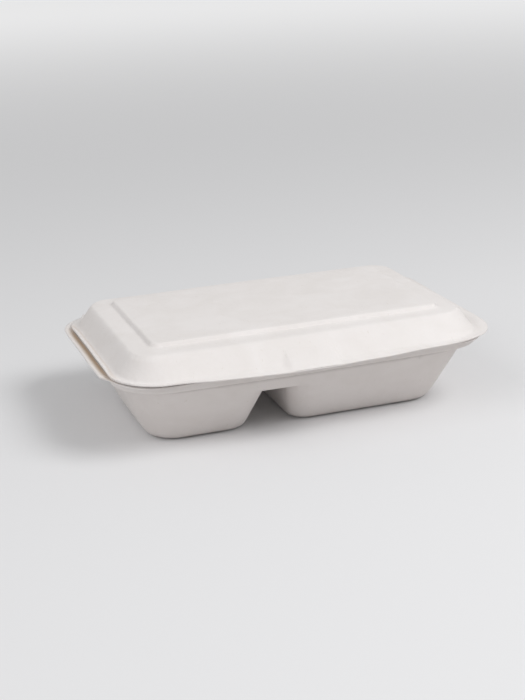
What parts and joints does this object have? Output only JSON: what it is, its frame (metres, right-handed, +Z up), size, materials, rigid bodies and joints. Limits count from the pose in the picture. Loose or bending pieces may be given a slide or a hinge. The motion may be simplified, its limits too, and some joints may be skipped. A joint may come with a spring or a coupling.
{
  "type": "hinged food box",
  "caption": "Disposable food box in moulded plant fibre: a tray with a small and a large compartment under a hinged domed lid, shut and locked at the front.",
  "frame": {"origin": "on the table under the middle of the box", "axes": "+X along the length towards the large compartment, +Y across it to the hinge, +Z up"},
  "size_m": [0.25, 0.163, 0.065],
  "materials": {
    "fibre_tray": "matt",
    "fibre_lid": "matt"
  },
  "bodies": {
    "tray": {"tray": "fibre_tray"},
    "lid": {"lid": "fibre_lid"}
  },
  "joints": [
    {"name": "lid_hinge", "type": "hinge", "parent": "tray", "child": "lid", "pos_m": [0, 0.0817, 0.04755], "axis": [-1, 0, 0], "range_deg": [0, 180]}
  ]
}
